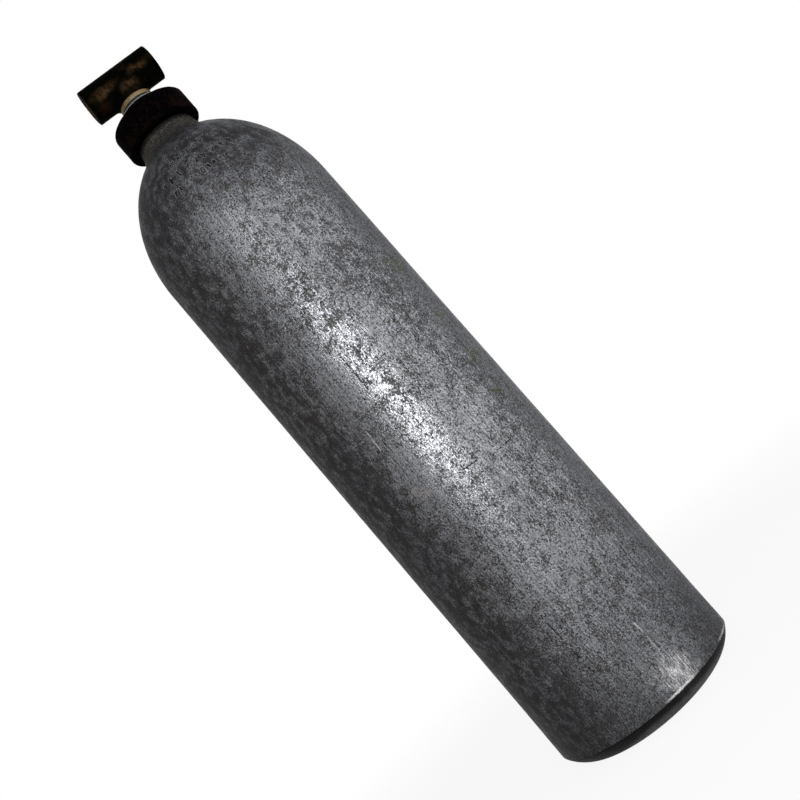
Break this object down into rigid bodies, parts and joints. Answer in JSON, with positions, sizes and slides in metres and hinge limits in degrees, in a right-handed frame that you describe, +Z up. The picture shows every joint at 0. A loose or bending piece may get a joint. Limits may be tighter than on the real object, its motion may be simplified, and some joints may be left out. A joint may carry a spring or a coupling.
{
  "type": "gas cylinder",
  "caption": "Upright weathered aluminium gas cylinder with a domed shoulder, a rusty steel neck ring and a bronze T-shaped shut-off valve.",
  "frame": {"origin": "centre of the flat base, at floor level", "axes": "+Z up along the cylinder's axis; +X along the valve barrel, from the gas outlet towards the spindle end; +Y completes the right-handed frame"},
  "size_m": [0.184, 0.1838, 0.7618],
  "materials": {
    "weathered_aluminium": "bare, oxidised and mottled grey with fine scratches",
    "rusty_steel": "dark, pitted brown rust",
    "patinated_bronze": "near-black brown patina with rubbed highlights",
    "bare_brass": "rubbed bare, with verdigris in its lower corner",
    "valve_brass": "dull turned brass",
    "steel": "tarnished turned steel",
    "black_rubber": "aged black rubber",
    "white_plastic": "waxy off-white plastic",
    "copper": "dull copper"
  },
  "bodies": {
    "cylinder": {"cylinder_shell": "weathered_aluminium", "neck_ring": "rusty_steel", "valve_body": "patinated_bronze", "seal_ring": "bare_brass", "bonnet": "valve_brass", "packing_washer": "valve_brass", "packing_follower": "valve_brass", "inlet_tube": "valve_brass", "packing_nut": "steel", "neck_o_ring": "black_rubber", "thrust_washer": "white_plastic", "packing_ring_1": "white_plastic", "packing_ring_2": "white_plastic", "packing_ring_3": "white_plastic", "bonnet_gasket": "copper"},
    "spindle": {"spindle": "steel"},
    "plug": {"valve_plug": "valve_brass", "seat_disc": "white_plastic", "seat_screw": "steel"}
  },
  "joints": [
    {"name": "spindle_turn", "type": "hinge", "parent": "cylinder", "child": "spindle", "pos_m": [0.02, 0, 0.74402], "axis": [1, 0, 0], "range_deg": [0, 720]},
    {"name": "plug_lift", "type": "slide", "parent": "spindle", "child": "plug", "axis": [1, 0, 0], "range_m": [0, 0.003]}
  ],
  "couplings": [
    {"joint": "spindle_turn", "follows": "plug_lift", "rad_per_m": 4188.8}
  ]
}
